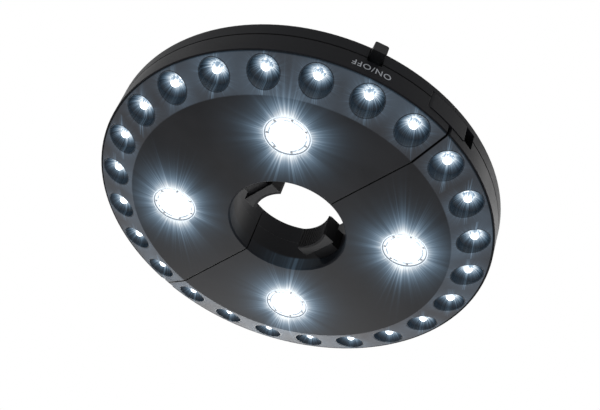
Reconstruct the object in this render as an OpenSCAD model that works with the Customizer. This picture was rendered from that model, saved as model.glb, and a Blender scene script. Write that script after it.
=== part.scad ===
// Battery light for a patio umbrella: a flat ring of lamps in two halves. The halves hinge open on one side
// and latch on the other, and two sprung jaws in the middle opening hold the light up by their grip.
// Frame: +Z up, the lamps face down, the grip's axis is the Z axis, and the flat underside lies at z = 0.
// The halves meet on the plane y = 0: half A is at -Y and holds the button, half B is at +Y.
// The latch is at +X and the hinge at -X.

/* [Housing] */
// Overall diameter of the disc
disc_d = 215; // [213:1:228]
// Diameter of the opening in the middle
hole_d = 63; // [62:1:66]
// Wall of the moulded shells
wall = 2.2; // [1.9:0.1:2.4]
// Radial width of the sloping band that holds the ring lights
band_w = 19.5; // [19:0.1:20]
// How far the band rises from the flat face to the rim
band_rise = 7.2; // [6.4:0.1:7.6]
// Width of the shadow groove between the band and the side wall
groove_w = 0.7; // [0.5:0.1:0.9]
// Depth of the shadow groove
groove_d = 0.9; // [0.6:0.1:1.1]
// Height of the line where the lower and upper shells meet
parting_z = 19.5; // [19.3:0.1:20]
// Height of the top of the side wall
rim_z = 28; // [27.8:0.1:29]
// Height of the flat deck on top
deck_z = 32; // [31.8:0.1:33]
// Run of the slope from the rim in to the deck
shoulder_w = 7.2; // [6:0.1:7.4]
// Gap between the two halves
split_gap = 0.6; // [0.4:0.1:0.8]

/* [Ring lights] */
// Number of small lamps in the ring, both halves together
led_count = 24; // [20:4:24]
// Mouth diameter of each small reflector cup
cup_d = 15.8; // [15:0.1:16]
// Wall of a reflector cup
cup_wall = 0.5; // [0.4:0.1:0.6]
// Land between a cup and the outer edge of the band
cup_land = 1.1; // [1:0.1:1.6]
// Diameter of a small lamp
led_d = 5; // [4.6:0.1:5.2]
// Height of the tip of a small lamp
led_tip_z = 6.3; // [6:0.1:6.6]
// Height of the underside of the ring circuit board
board_z = 11.4; // [11.2:0.1:11.6]
// Thickness of the circuit boards
board_t = 1.6; // [1.2:0.1:1.8]
// Radial width of the ring circuit board
board_w = 10; // [9:0.5:11]

/* [Spot lights] */
// Diameter of the circle through the four large lamps
spot_pitch_d = 125.2; // [122:0.2:127]
// Diameter of a spot lens
lens_d = 24.8; // [23:0.1:26]
// Height from the lens's flange to the spot's circuit board
spot_depth = 7.2; // [6.6:0.1:8]
// Thickness of the lens's flange
lens_flange_t = 1.2; // [0.8:0.1:1.5]

/* [Grip] */
// Diameter that the jaws hold at rest
grip_d = 38; // [36:0.5:40]
// Width of each jaw
jaw_w = 21; // [20:0.5:22]
// Height of the underside of the jaws
jaw_z = 5; // [4:0.5:6]
// Height of the jaws' grip
jaw_h = 14; // [12:0.5:14]
// Thickness of the rubber pad on a jaw
pad_t = 1.4; // [1:0.1:2]
// Depth of the jaw head behind the pad, at its middle
head_t = 3.6; // [3:0.1:4]
// Travel of a jaw towards the axis
jaw_in = 8; // [6:0.5:8]
// Travel of a jaw away from the axis
jaw_out = 4.5; // [3:0.5:5]
// Length of a jaw spring with the jaw at rest
jaw_spring_l = 11.5; // [11:0.1:11.8]
// Mean diameter of a jaw spring
jaw_spring_d = 6; // [5.6:0.1:6.6]
// Distance of a jaw spring from the middle of its jaw
jaw_spring_x = 6; // [5:0.5:7]

/* [Batteries] */
// Diameter of an AA cell
cell_d = 14.5; // [14:0.1:14.6]
// Length of an AA cell
cell_l = 50.5; // [49:0.1:51]
// Thickness of a battery door
door_t = 2; // [1.6:0.1:2.2]

/* [Hinge and latch] */
// Diameter of the hinge barrel
hinge_d = 8.4; // [8:0.1:8.8]
// Diameter of the hinge pin
hinge_pin_d = 3; // [2.5:0.1:3.2]
// How far the halves open
open_deg = 90; // [70:1:95]
// Height of the bottom of the latch
latch_z = 12.9; // [12.9:0.1:13.6]
// Height of the latch lever
latch_h = 11.2; // [9.6:0.1:11.2]
// Length of the latch lever past its pivot, along the rim
latch_l = 23; // [22:0.1:23.6]
// Thickness of the latch lever
latch_t = 2.2; // [1.8:0.1:2.4]
// Width of the finger window beyond the latch
window_w = 6.4; // [5.6:0.1:7]

/* [Button] */
// Where the button stands on the rim, in degrees from the latch
button_deg = -25; // [-27:0.5:-23]
// Width of the button
button_w = 7; // [6.4:0.1:7.6]
// Height of the button
button_h = 6.5; // [5.6:0.1:6.5]
// How far the button stands out of the rim
button_out = 4.8; // [4:0.1:5.5]
// Travel of the button
button_travel = 1.2; // [0.8:0.1:1.4]

/* [Hanging hooks] */
// Inner diameter of a hook's eye
hook_eye_d = 8; // [7:0.1:8.2]
// Width of the hook's bar
hook_bar = 3; // [2.6:0.1:3.2]
// Thickness of a hook
hook_t = 3; // [2.6:0.1:3.2]
// Distance from a hook's pivot to the middle of its eye
hook_reach = 12; // [11.4:0.1:12.2]

/* [Hidden] */
$fn = 96;
eps = 0.01;
over = 1; // how far a cutter runs past what it cuts

disc_r = disc_d / 2;
hole_r = hole_d / 2;
cup_r = cup_d / 2;
led_r = led_d / 2;
lens_r = lens_d / 2;
grip_r = grip_d / 2;

edge = 0.8; // bevel round the middle opening
draft = 0.5; // how much narrower the side wall is at its foot
reveal = 0.45; // depth of the line between the shells
rim_fillet = 1.2;
lip_t = 0.5; // thickness of the side wall's foot, outside the groove
lip_rise = 0.4; // foot of the side wall above the outer edge of the band
rim_low_r = disc_r - draft;
band_r = rim_low_r - lip_t - groove_w;
face_r = band_r - band_w;
band_slope = band_rise / band_w;
shoulder_r = disc_r - rim_fillet - shoulder_w;
inner_r = rim_low_r - wall;
tube_r = hole_r + wall;
deck_under_z = deck_z - wall;
split_half = split_gap / 2;

snug = 0.05; // clearance round a piece that is pressed into another
fit = 0.2; // clearance round a piece that seats in another
slide = 0.3; // clearance round a piece that moves
run = 0.08; // clearance of a pin in what turns on it
led_step = 360 / led_count;
led_ring_r = band_r - cup_land - cup_r;
cup_body_r = cup_r + cup_wall;
led_flange_r = led_r + fit * 2;
led_flange_t = 1;
cup_eye_r = led_flange_r + fit;
cup_top_t = 0.5;
cup_rim_gap = 0.12; // how far a cup's rim lies inside the band
cup_straight_z = band_rise; // where a cup's straight mouth ends and its dome starts
board_top_z = board_z + board_t;
board_mid_r = led_ring_r - 2.4;
board_lo_r = board_mid_r - board_w / 2;
board_hi_r = board_mid_r + board_w / 2;
board_split = 6; // how far the ring board's ends stay from the split

spot_r = spot_pitch_d / 2;
spot_angles = [-45, -135];
lens_flange_r = lens_r + 1;
lens_recess = 0.2; // how far the lens lies above the face
lens_top_z = wall + lens_flange_t;
spot_tube_r = lens_flange_r + fit;
spot_tube_wall = 1.4;
spot_board_z = lens_top_z + spot_depth;
spot_board_r = spot_tube_r + spot_tube_wall / 2;
reflector_wall = 0.8;
reflector_neck_r = 4.5;
spot_led_r = 4.2;
spot_led_base_t = 0.9;
spot_dome_r = 2.6;

neck_w = 14;
neck_drop = 0.3; // gap between the neck and the upper shell's tube
neck_z = jaw_z + 2;
head_y = grip_r + pad_t + head_t;
carriage_y = tube_r + jaw_in + edge;
carriage_t = 4;
carriage_w = 24;
carriage_top_z = parting_z - neck_drop;
carriage_z = wall + slide;
seat_y = carriage_y + carriage_t + jaw_spring_l;
seat_t = 1.8;
seat_top_z = carriage_top_z - 1;
keeper_half_w = 1; // half the width of the rib that keeps a carriage down
rail_t = 1.6;
rail_top_z = 12;
spring_peg_r = 2;
spring_peg_l = 2.4;
jaw_spring_z = 10;
jaw_wire = 0.7;
jaw_spring_turns = 6;

bay_wall = 2;
bay_ledge = 1.2; // width of the ledge that a battery door rests on
bay_floor_t = 1.2;
cell_room = 0.8; // room round and between the cells
contact_t = 0.4;
contact_spring_l = 5.6;
contact_spring_r = 4.4;
contact_spring_tip_r = 2.4;
contact_spring_turns = 3;
contact_wire = 0.8;
cell_nub_l = 1;
cell_nub_r = 2.75;
bay_l = cell_l + contact_spring_l + 2 * contact_t + 4 * snug;
bay_w = 2 * cell_d + cell_room;
bay_y = seat_y + seat_t + fit + bay_wall;
door_z = deck_z - door_t;
cell_z = door_z - 3 * fit - cell_d / 2;
bay_floor_z = cell_z - cell_d / 2 - fit;
contact_w = 10;
door_notch_r = 6.5; // the finger notch in a door's edge
door_groove = 1.2;
door_grooves = 5;

post_r = 3.2;
post_land = 3.1; // solid between a post and the cups, the bay or the middle opening's wall
outer_post_r = led_ring_r - cup_body_r - post_r - post_land;
inner_post_r = tube_r + post_r + post_land;
bay_post_x = bay_l / 2 + bay_wall + post_r + post_land;
bay_post_deg = acos(bay_post_x / outer_post_r);
outer_post_deg = 22;
inner_post_deg = 25;
screw_posts = [[outer_post_r, -outer_post_deg], [outer_post_r, outer_post_deg - 180],
  [outer_post_r, -bay_post_deg], [outer_post_r, bay_post_deg - 180],
  [inner_post_r, -inner_post_deg], [inner_post_r, inner_post_deg - 180]];
post_top_z = 18.3;
cap_post_r = 4;
cap_post_gap = 0.2;
screw_seat_t = 3.5;
screw_r = 1.4;
screw_l = 12;
screw_head_r = 2.6;
screw_head_t = 1.8;
cross_l = 3.2;
cross_w = 0.7;
screw_seat_z = post_top_z + screw_seat_t;

hinge_r = hinge_d / 2;
hinge_pin_r = hinge_pin_d / 2;
hinge_inset = 0.4; // how far the barrel lies inside the foot of the side wall
hinge_x = -(rim_low_r - hinge_inset - hinge_r);
hinge_sleeve = 1.2;
knuckle_gap = 0.4;
knuckle_top = 0.1; // gap above the top knuckle, to the top of the side wall
hinge_seam_deg = 50; // from -X to half A's edge beyond the barrel
hinge_spare_deg = 3;
knuckle_l = 4;
knuckles_z = [band_rise - knuckle_l, parting_z - 2 * knuckle_l, parting_z - knuckle_l, parting_z,
  parting_z + knuckle_l, rim_z - knuckle_top];
hinge_pin_z = band_rise + 1.6;
hinge_pin_top_z = rim_z - 1.4;
hinge_tight = 0.02; // clearance of the pin in half A's knuckles

latch_sink = 0.1; // how far the lever lies inside the rim
latch_r = disc_r - latch_sink;
latch_barrel_r = 3.2;
latch_gap = 0.45; // gap round the lever's barrel, wide enough to see
latch_pivot_r = latch_r - latch_barrel_r;
latch_pivot_deg = -7.1;
latch_pivot = [latch_pivot_r * cos(latch_pivot_deg), latch_pivot_r * sin(latch_pivot_deg)];
latch_end_y = latch_pivot[1] + latch_l;
latch_floor_r = latch_r - latch_t - slide;
latch_pin_r = 1;
latch_pin_bite = 1;
latch_nose_r = 1;
latch_nose_y = latch_end_y - 2 * latch_nose_r;
latch_nose_in = 2;
nose_floor_r = latch_floor_r - latch_nose_r - 1.3;
latch_pad_wall = 1.4; // solid left inside the latch's pivot
pad_x = latch_pivot_r - latch_barrel_r - latch_pad_wall;
pad_z = latch_z - fit - latch_pin_bite - snug - fit;
pad_top_z = rim_z - 1;
window_z = latch_z + 0.6;
window_h = latch_h - 1;
window_depth = 6.2;

button_z = parting_z + 1;
button_notch = 1.8; // how far the button's slot reaches below the line between the shells
button_flange_t = 2.2;
button_flange_side = 2;
button_flange_drop = 1.6; // keeps the flange below the slope of the roof
button_corner = 1.1;
button_stem_r = 1.5;
button_stem_l = 6.2;
button_back_r = disc_r - wall - slide - button_flange_t;
button_mid_z = button_z + button_h / 2;
switch_case = 6;
switch_case_t = 3.5;
plunger_r = 1.6;
plunger_out = 1.5;
plunger_in = 1;
switch_face_r = button_back_r - button_stem_l;
switch_board_r = switch_face_r - switch_case_t;
switch_board_w = 16;
switch_board_top = 3.2; // how far the switch board reaches above the button's middle

hook_barrel_r = 2.1;
recess_back = 0.5; // room behind a hook's barrel and before its eye
hook_pin_r = 1;
hook_pivot_y = bay_y - bay_wall - wall - recess_back - hook_barrel_r;
hook_sink = 0.3; // how far a hook's barrel lies below the deck
hook_pivot_z = deck_z - hook_barrel_r - hook_sink;
hook_outer_r = hook_eye_d / 2 + hook_bar;
hook_shank_w = 4;
hook_mouth = [-64, -6]; // the eye's open part, in degrees from +X
recess_floor_z = hook_pivot_z - hook_barrel_r - recess_back;
recess_floor_t = 1.4;
recess_half_w = hook_outer_r + 1;
hook_hub_w = 2 * (recess_half_w - slide);
hook_pin_bite = 2;

link_x = [60, 66]; // where the contacts that join the halves stand
link_z = 10.5;
link_r = 1.2;
link_flange_r = 2;
link_flange_t = 0.6;
link_l = 4.5;
link_pad_r = link_r + 0.5;
link_pad_flange_r = link_pad_r + 0.8;

corner_wedge = 1.2; // width of the notch in the rim where the halves meet at the latch
corner_wedge_in = 2;

housing_grey = "#3b3b3f";
jaw_grey = "#2b2c2e";
rubber_black = "#1b1b1c";
cup_black = "#1d232b";
clear = [0.9, 0.94, 0.97, 0.45];
lamp_white = "#f4f8ff";
silver = "silver";
board_green = "#2c4a38";
contact_steel = "#b9bcc0";
cell_blue = "#46525e";

// ---- helpers ----

// Children are drawn for half A, and mirrored for half B.
module on(side) {
  if (side == "a") children();
  else mirror([0, 1, 0]) children();
}

module at_polar(r, deg) {
  rotate([0, 0, deg]) translate([r, 0, 0]) children();
}

// A box between two corners.
module block(lo, hi) {
  translate(lo) cube(hi - lo);
}

function fillet(centre, r, from, to, steps) =
  [for (i = [0 : steps]) let (a = from + (to - from) * i / steps) centre + r * [cos(a), sin(a)]];

// Outline of the whole disc in radius and height, as if it were solid.
function disc_outline() = concat(
  [[hole_r, edge], [hole_r + edge, 0], [face_r, 0], [band_r, band_rise], [band_r, band_rise + groove_d],
    [band_r + groove_w, band_rise + groove_d], [band_r + groove_w, band_rise + lip_rise],
    [rim_low_r - 0.3, band_rise + lip_rise], [rim_low_r, band_rise + lip_rise + 0.3],
    [disc_r - draft / 2, parting_z - reveal], [disc_r - draft / 2 - reveal, parting_z],
    [disc_r - draft / 2, parting_z + reveal]],
  fillet([disc_r - rim_fillet, rim_z - rim_fillet], rim_fillet, 0, 60, 4),
  [[shoulder_r, deck_z], [hole_r + edge, deck_z], [hole_r, deck_z - edge]]);

// Outline of the space inside the shells.
function cavity_outline() = [[tube_r, wall], [face_r, wall],
  [inner_r, wall + (inner_r - face_r) * band_slope],
  [disc_r - wall, rim_z - wall], [shoulder_r - wall / 2, deck_under_z], [tube_r, deck_under_z]];

// The half-space that holds half A, from its split face, between two heights.
module half_space(inset, lo, hi) {
  block([-disc_r - over, -disc_r - over, lo], [disc_r + over, -split_half - inset, hi]);
}

// Half A of the disc between two heights, hollowed, with its split face closed.
module half_shell(lo, hi) {
  difference() {
    half_disc(lo, hi);
    intersection() {
      rotate_extrude() polygon(cavity_outline());
      half_space(wall, lo - over, hi + over);
    }
  }
}

module half_disc(lo, hi) {
  intersection() {
    rotate_extrude() polygon(disc_outline());
    half_space(0, lo, hi);
  }
}

module at_leds() {
  for (i = [0 : led_count / 2 - 1]) at_polar(led_ring_r, -(i + 0.5) * led_step) children();
}

module at_spots() {
  for (deg = spot_angles) at_polar(spot_r, deg) children();
}

module at_posts() {
  for (p = screw_posts) at_polar(p[0], p[1]) children();
}

module at_hinge() {
  translate([hinge_x, 0, 0]) children();
}

// What lies below the band, raised by a gap.
module below_band(gap) {
  rotate_extrude() polygon([[0, -over], [disc_r, -over], [disc_r, (disc_r - face_r) * band_slope + gap],
    [face_r, gap], [0, gap]]);
}

// A coil on +Z from z = 0, as one unbroken six-sided wire.
module coil(r_start, r_end, wire_r, length, turns) {
  sides = 6;
  per_turn = 8;
  rings = turns * per_turn;
  points = [for (i = [0 : rings], k = [0 : sides - 1])
    let (t = i / rings, a = 360 * turns * t, r = r_start + (r_end - r_start) * t + wire_r * cos(60 * k),
      z = wire_r + (length - 2 * wire_r) * t + wire_r * sin(60 * k))
    [r * cos(a), r * sin(a), z]];
  sides_faces = [for (i = [0 : rings - 1], k = [0 : sides - 1], half = [0, 1])
    let (a = i * sides + k, b = i * sides + (k + 1) % sides)
    half == 0 ? [a, b, b + sides] : [a, b + sides, a + sides]];
  ends = concat([for (k = [1 : sides - 2]) [0, k + 1, k]],
    [for (k = [1 : sides - 2]) let (e = rings * sides) [e, e + k, e + k + 1]]);
  polyhedron(points, concat(sides_faces, ends));
}

// ---- shells ----

// The solid round the hinge pin that closes a half behind its barrel.
module hinge_backing(lo, hi) {
  intersection() {
    half_disc(lo, hi);
    at_hinge() translate([0, 0, lo]) cylinder(r = hinge_r + slide + hinge_sleeve, h = hi - lo);
  }
}

// Room for the other half's knuckles, and for the rim to swing past the barrel.
module hinge_cuts(side, others) {
  deg = side == "a" ? hinge_seam_deg : open_deg + hinge_spare_deg - hinge_seam_deg;
  reach = 6 * hinge_r;
  at_hinge() {
    for (k = others) translate([0, 0, k[0] - knuckle_gap / 2])
      cylinder(r = hinge_r + slide, h = k[1] - k[0] + knuckle_gap);
    translate([0, 0, -over]) linear_extrude(deck_z + 2 * over)
      polygon([[0, 0], [0, over], [-reach, over], [-reach, -reach * tan(deg / 2)],
        [-reach * cos(deg), -reach * sin(deg)]]);
  }
}

// A half's own knuckles on the hinge pin, cut to the underside of the disc.
module knuckles(side, own) {
  bore_r = hinge_pin_r + (side == "a" ? hinge_tight : run);
  difference() {
    intersection() {
      at_hinge() for (k = own) translate([0, 0, k[0] + knuckle_gap / 2])
        cylinder(r = hinge_r, h = k[1] - k[0] - knuckle_gap);
      translate([0, 0, -over]) rotate_extrude() polygon([[0, over], [face_r, over],
        [band_r, band_rise + over], [band_r, disc_r], [disc_r, disc_r], [disc_r, deck_z + over],
        [0, deck_z + over]]);
    }
    hinge_bore(bore_r);
  }
}

module hinge_bore(bore_r) {
  at_hinge() translate([0, 0, hinge_pin_z - fit])
    cylinder(r = bore_r, h = hinge_pin_top_z - hinge_pin_z + 2 * fit);
}

// The thick part of the rim that carries the latch: half A's holds the pivot, half B's the finger window.
module latch_pad(side, lo, hi) {
  end_y = side == "a" ? latch_pivot[1] - latch_barrel_r - wall : -latch_end_y - window_w - wall;
  intersection() {
    half_disc(lo, hi);
    block([pad_x, end_y, pad_z], [disc_r + over, 0, pad_top_z]);
  }
}

module latch_recess(y_lo, y_hi) {
  difference() {
    block([pad_x, y_lo, latch_z - fit], [disc_r + over, y_hi, latch_z + latch_h + fit]);
    translate([0, 0, latch_z - fit - over]) cylinder(r = latch_floor_r, h = latch_h + 2 * fit + 2 * over);
  }
}

module latch_cuts(side) {
  translate([0, 0, -over]) linear_extrude(latch_z - fit + over)
    polygon([[disc_r - corner_wedge_in, 0], [disc_r - corner_wedge_in, -split_half],
      [disc_r + over, -split_half - corner_wedge * (1 + over / corner_wedge_in)], [disc_r + over, 0]]);
  if (side == "a") {
    latch_recess(latch_pivot[1], over);
    translate([latch_pivot[0], latch_pivot[1], latch_z - fit])
      cylinder(r = latch_barrel_r + latch_gap, h = latch_h + 2 * fit);
    translate([latch_pivot[0], latch_pivot[1], latch_z - fit - latch_pin_bite])
      cylinder(r = latch_pin_r + snug, h = latch_h + 2 * fit + 2 * latch_pin_bite);
  } else {
    latch_recess(-latch_end_y - fit, over);
    block([nose_floor_r, -latch_end_y - fit, latch_z + latch_nose_in - slide],
      [disc_r + over, over, latch_z + latch_h - latch_nose_in + slide]);
    block([disc_r - window_depth, -latch_end_y - fit - window_w, window_z],
      [disc_r + over, -latch_end_y - fit + eps, window_z + window_h]);
  }
}

module bottom_shell(side) {
  own = side == "a" ? [[knuckles_z[1], knuckles_z[2]]]
    : [[knuckles_z[0], knuckles_z[1]], [knuckles_z[2], knuckles_z[3]]];
  others = side == "a" ? [[knuckles_z[0] - over, knuckles_z[1]], [knuckles_z[2], knuckles_z[3] + over]]
    : [[knuckles_z[1], knuckles_z[2]]];
  color(housing_grey) on(side) {
    difference() {
      union() {
        half_shell(0, parting_z);
        hinge_backing(0, parting_z);
        latch_pad(side, 0, parting_z);
        at_spots() translate([0, 0, wall - eps])
          cylinder(r = spot_tube_r + spot_tube_wall, h = spot_board_z - wall + eps);
        at_posts() translate([0, 0, wall - eps]) cylinder(r = post_r, h = post_top_z - wall + eps);
        jaw_guides();
      }
      at_leds() translate([0, 0, -over]) cylinder(r = cup_body_r + snug, h = board_z + over);
      at_spots() translate([0, 0, -over]) cylinder(r = lens_r + fit, h = wall + 2 * over);
      at_spots() translate([0, 0, wall]) cylinder(r = spot_tube_r, h = spot_board_z);
      at_posts() translate([0, 0, post_top_z - screw_l]) cylinder(r = screw_r + snug, h = screw_l + over);
      block([-neck_w / 2 - slide, -tube_r - over, neck_z - slide],
        [neck_w / 2 + slide, -head_y, parting_z + over]);
      hinge_cuts(side, others);
      hinge_bore(hinge_pin_r + run);
      latch_cuts(side);
      link_holes(side);
      if (side == "a") button_slot();
    }
    knuckles(side, own);
  }
}

// The rails that a jaw's carriage runs between, and the seat that its springs push on.
module jaw_guides() {
  rail_x = carriage_w / 2 + slide;
  for (s = [-1, 1]) scale([s, 1, 1])
    block([rail_x, -seat_y - seat_t, wall - eps], [rail_x + rail_t, -tube_r + eps, rail_top_z]);
  block([-rail_x - rail_t, -seat_y - seat_t, wall - eps], [rail_x + rail_t, -seat_y, seat_top_z]);
  for (s = [-1, 1]) translate([s * jaw_spring_x, -seat_y - eps, jaw_spring_z]) rotate([-90, 0, 0])
    cylinder(r = spring_peg_r, h = spring_peg_l);
}

module top_shell(side) {
  own = side == "a" ? [[knuckles_z[3], knuckles_z[4]]] : [[knuckles_z[4], knuckles_z[5]]];
  others = side == "a" ? [[knuckles_z[4], knuckles_z[5] + deck_z]] : [[knuckles_z[3] - over, knuckles_z[4]]];
  color(housing_grey) on(side) {
    difference() {
      union() {
        half_shell(parting_z, deck_z);
        hinge_backing(parting_z, deck_z);
        latch_pad(side, parting_z, deck_z);
        at_posts() translate([0, 0, post_top_z + cap_post_gap])
          cylinder(r = cap_post_r, h = deck_under_z - post_top_z - cap_post_gap + eps);
        block([-bay_l / 2 - bay_wall, -bay_y - bay_w - bay_wall, bay_floor_z - bay_floor_t],
          [bay_l / 2 + bay_wall, -bay_y + bay_wall, deck_z]);
        block([-recess_half_w - wall, -hook_pivot_y - hook_barrel_r - recess_back - wall,
            recess_floor_z - recess_floor_t],
          [recess_half_w + wall, -tube_r + edge, deck_under_z + eps]);
        block([-keeper_half_w, -seat_y, carriage_top_z + slide],
          [keeper_half_w, -tube_r - over, recess_floor_z]);
      }
      at_posts() cylinder(r = screw_r + slide, h = deck_z);
      at_posts() translate([0, 0, screw_seat_z]) cylinder(r = screw_head_r + slide, h = deck_z);
      block([-bay_l / 2, -bay_y - bay_w, bay_floor_z], [bay_l / 2, -bay_y, deck_z + over]);
      block([-bay_l / 2 - bay_ledge, -bay_y - bay_w - bay_ledge, door_z],
        [bay_l / 2 + bay_ledge, -bay_y + bay_ledge, deck_z + over]);
      hook_recess();
      hinge_cuts(side, others);
      hinge_bore(hinge_pin_r + run);
      latch_cuts(side);
      if (side == "a") button_slot();
    }
    knuckles(side, own);
  }
}

module hook_recess() {
  block([-recess_half_w, -hook_pivot_y - hook_barrel_r - recess_back, recess_floor_z],
    [recess_half_w, -hook_pivot_y + hook_reach + hook_outer_r + recess_back, deck_z + over]);
  translate([0, -hook_pivot_y, hook_pivot_z]) rotate([0, 90, 0])
    cylinder(r = hook_pin_r + snug, h = 2 * (recess_half_w + hook_pin_bite), center = true);
}

// The slot that the button stands in, open below it down to a step in the lower wall.
module button_slot() {
  half_w = button_w / 2 + slide;
  rotate([0, 0, button_deg]) block([button_back_r - button_flange_t, -half_w, parting_z - button_notch],
    [disc_r + over, half_w, button_z + button_h + slide]);
}

// ---- ring lights ----

module ring_reflectors(side) {
  top_z = board_z - cup_top_t;
  dome_h = top_z - cup_straight_z;
  dome_r = (cup_r * cup_r + dome_h * dome_h) / (2 * dome_h);
  color(cup_black) on(side) difference() {
    at_leds() difference() {
      cylinder(r = cup_body_r, h = board_z);
      intersection() {
        translate([0, 0, top_z - dome_r]) sphere(r = dome_r);
        translate([0, 0, -over]) cylinder(r = cup_r, h = board_z + over);
      }
      cylinder(r = cup_eye_r, h = board_z + over);
    }
    below_band(cup_rim_gap);
  }
}

module ring_leds(side) {
  color(lamp_white) on(side) at_leds() {
    translate([0, 0, led_tip_z + led_r]) sphere(r = led_r);
    translate([0, 0, led_tip_z + led_r]) cylinder(r = led_r, h = board_z - led_tip_z - led_r);
    translate([0, 0, board_z - led_flange_t]) cylinder(r = led_flange_r, h = led_flange_t);
  }
}

module ring_board(side) {
  color(board_green) on(side) intersection() {
    translate([0, 0, board_z]) difference() {
      cylinder(r = board_hi_r, h = board_t);
      translate([0, 0, -over]) cylinder(r = board_lo_r, h = board_t + 2 * over);
    }
    half_space(board_split, 0, deck_z);
  }
}

// ---- spot lights ----

module spot_lenses(side) {
  color(clear) on(side) at_spots() {
    translate([0, 0, lens_recess]) cylinder(r = lens_r, h = lens_top_z - lens_recess);
    translate([0, 0, wall]) cylinder(r = lens_flange_r, h = lens_flange_t);
  }
}

module spot_reflectors(side) {
  mouth_r = lens_r - 2 * slide;
  neck_z_top = spot_depth - fit;
  color(silver) on(side) at_spots() translate([0, 0, lens_top_z]) rotate_extrude()
    polygon([[mouth_r, 0], [lens_flange_r, 0], [lens_flange_r, reflector_wall],
      [mouth_r + reflector_wall, reflector_wall],
      [reflector_neck_r + reflector_wall, neck_z_top], [reflector_neck_r, neck_z_top]]);
}

module spot_leds(side) {
  color(lamp_white) on(side) at_spots() {
    translate([0, 0, spot_board_z - spot_led_base_t]) cylinder(r = spot_led_r, h = spot_led_base_t);
    intersection() {
      translate([0, 0, spot_board_z - spot_led_base_t]) sphere(r = spot_dome_r);
      translate([0, 0, lens_top_z]) cylinder(r = spot_led_r, h = spot_depth - spot_led_base_t / 2);
    }
  }
}

module spot_boards(side) {
  color(board_green) on(side) at_spots() translate([0, 0, spot_board_z])
    cylinder(r = spot_board_r, h = board_t);
}

// ---- grip ----

module jaw(side) {
  color(jaw_grey) on(side) {
    difference() {
      block([-jaw_w / 2, -head_y, jaw_z], [jaw_w / 2, 0, jaw_z + jaw_h]);
      translate([0, 0, jaw_z - over]) cylinder(r = grip_r + pad_t, h = jaw_h + 2 * over);
    }
    block([-neck_w / 2, -carriage_y - eps, neck_z], [neck_w / 2, -head_y + eps, carriage_top_z]);
    block([-carriage_w / 2, -carriage_y - carriage_t, carriage_z],
      [carriage_w / 2, -carriage_y, carriage_top_z]);
    for (s = [-1, 1]) translate([s * jaw_spring_x, -carriage_y - carriage_t + eps, jaw_spring_z])
      rotate([90, 0, 0]) cylinder(r = spring_peg_r, h = spring_peg_l);
  }
}

module jaw_pad(side) {
  color(rubber_black) on(side) intersection() {
    translate([0, 0, jaw_z]) difference() {
      cylinder(r = grip_r + pad_t, h = jaw_h);
      translate([0, 0, -over]) cylinder(r = grip_r, h = jaw_h + 2 * over);
    }
    block([-jaw_w / 2, -grip_r - pad_t - over, jaw_z - over], [jaw_w / 2, 0, jaw_z + jaw_h + over]);
  }
}

module jaw_springs(side) {
  color(contact_steel) on(side) for (s = [-1, 1])
    translate([s * jaw_spring_x, -seat_y + snug, jaw_spring_z]) rotate([-90, 0, 0])
      coil(jaw_spring_d / 2, jaw_spring_d / 2, jaw_wire / 2, jaw_spring_l - 2 * snug, jaw_spring_turns);
}

// ---- batteries ----

// Children are drawn for a cell that points along +X, and turned for the cell beside it.
module at_cells() {
  for (i = [0, 1]) translate([0, -bay_y - (i + 0.5) * bay_w / 2, cell_z]) rotate([0, 0, 180 * i]) children();
}

module cells(side) {
  nub_x = bay_l / 2 - contact_t - snug;
  color(cell_blue) on(side) at_cells() {
    translate([nub_x - cell_l, 0, 0]) rotate([0, 90, 0]) cylinder(r = cell_d / 2, h = cell_l - cell_nub_l);
    translate([nub_x - cell_nub_l - eps, 0, 0]) rotate([0, 90, 0])
      cylinder(r = cell_nub_r, h = cell_nub_l + eps);
  }
}

module cell_springs(side) {
  color(contact_steel) on(side) at_cells() translate([-bay_l / 2 + contact_t + snug, 0, 0]) rotate([0, 90, 0])
    coil(contact_spring_r, contact_spring_tip_r, contact_wire / 2, contact_spring_l, contact_spring_turns);
}

module cell_contacts(side) {
  color(contact_steel) on(side) at_cells() for (x = [-bay_l / 2, bay_l / 2 - contact_t])
    block([x, -contact_w / 2, -contact_w / 2], [x + contact_t, contact_w / 2, contact_w / 2]);
}

module battery_door(side) {
  length = bay_l + 2 * bay_ledge - 2 * fit;
  width = bay_w + 2 * bay_ledge - 2 * fit;
  color(housing_grey) on(side) translate([0, -bay_y - bay_w / 2, 0]) difference() {
    block([-length / 2, -width / 2, door_z], [length / 2, width / 2, deck_z]);
    translate([0, -width / 2 - door_notch_r / 3, door_z - over])
      cylinder(r = door_notch_r, h = door_t + 2 * over);
    for (i = [1 : door_grooves])
      translate([-door_notch_r, -width / 2 + door_notch_r + i * 2 * door_groove, deck_z - door_t / 4])
        cube([2 * door_notch_r, door_groove, door_t]);
  }
}

// ---- fasteners ----

module case_screws(side) {
  color(contact_steel) on(side) at_posts() difference() {
    union() {
      translate([0, 0, screw_seat_z - screw_l]) cylinder(r = screw_r, h = screw_l + eps);
      translate([0, 0, screw_seat_z]) cylinder(r = screw_head_r, h = screw_head_t);
    }
    for (deg = [0, 90]) rotate([0, 0, deg])
      translate([-cross_l / 2, -cross_w / 2, screw_seat_z + screw_head_t / 2])
        cube([cross_l, cross_w, screw_head_t]);
  }
}

module hinge_pin() {
  color(contact_steel) at_hinge() translate([0, 0, hinge_pin_z])
    cylinder(r = hinge_pin_r, h = hinge_pin_top_z - hinge_pin_z);
}

// ---- hooks ----

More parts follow.
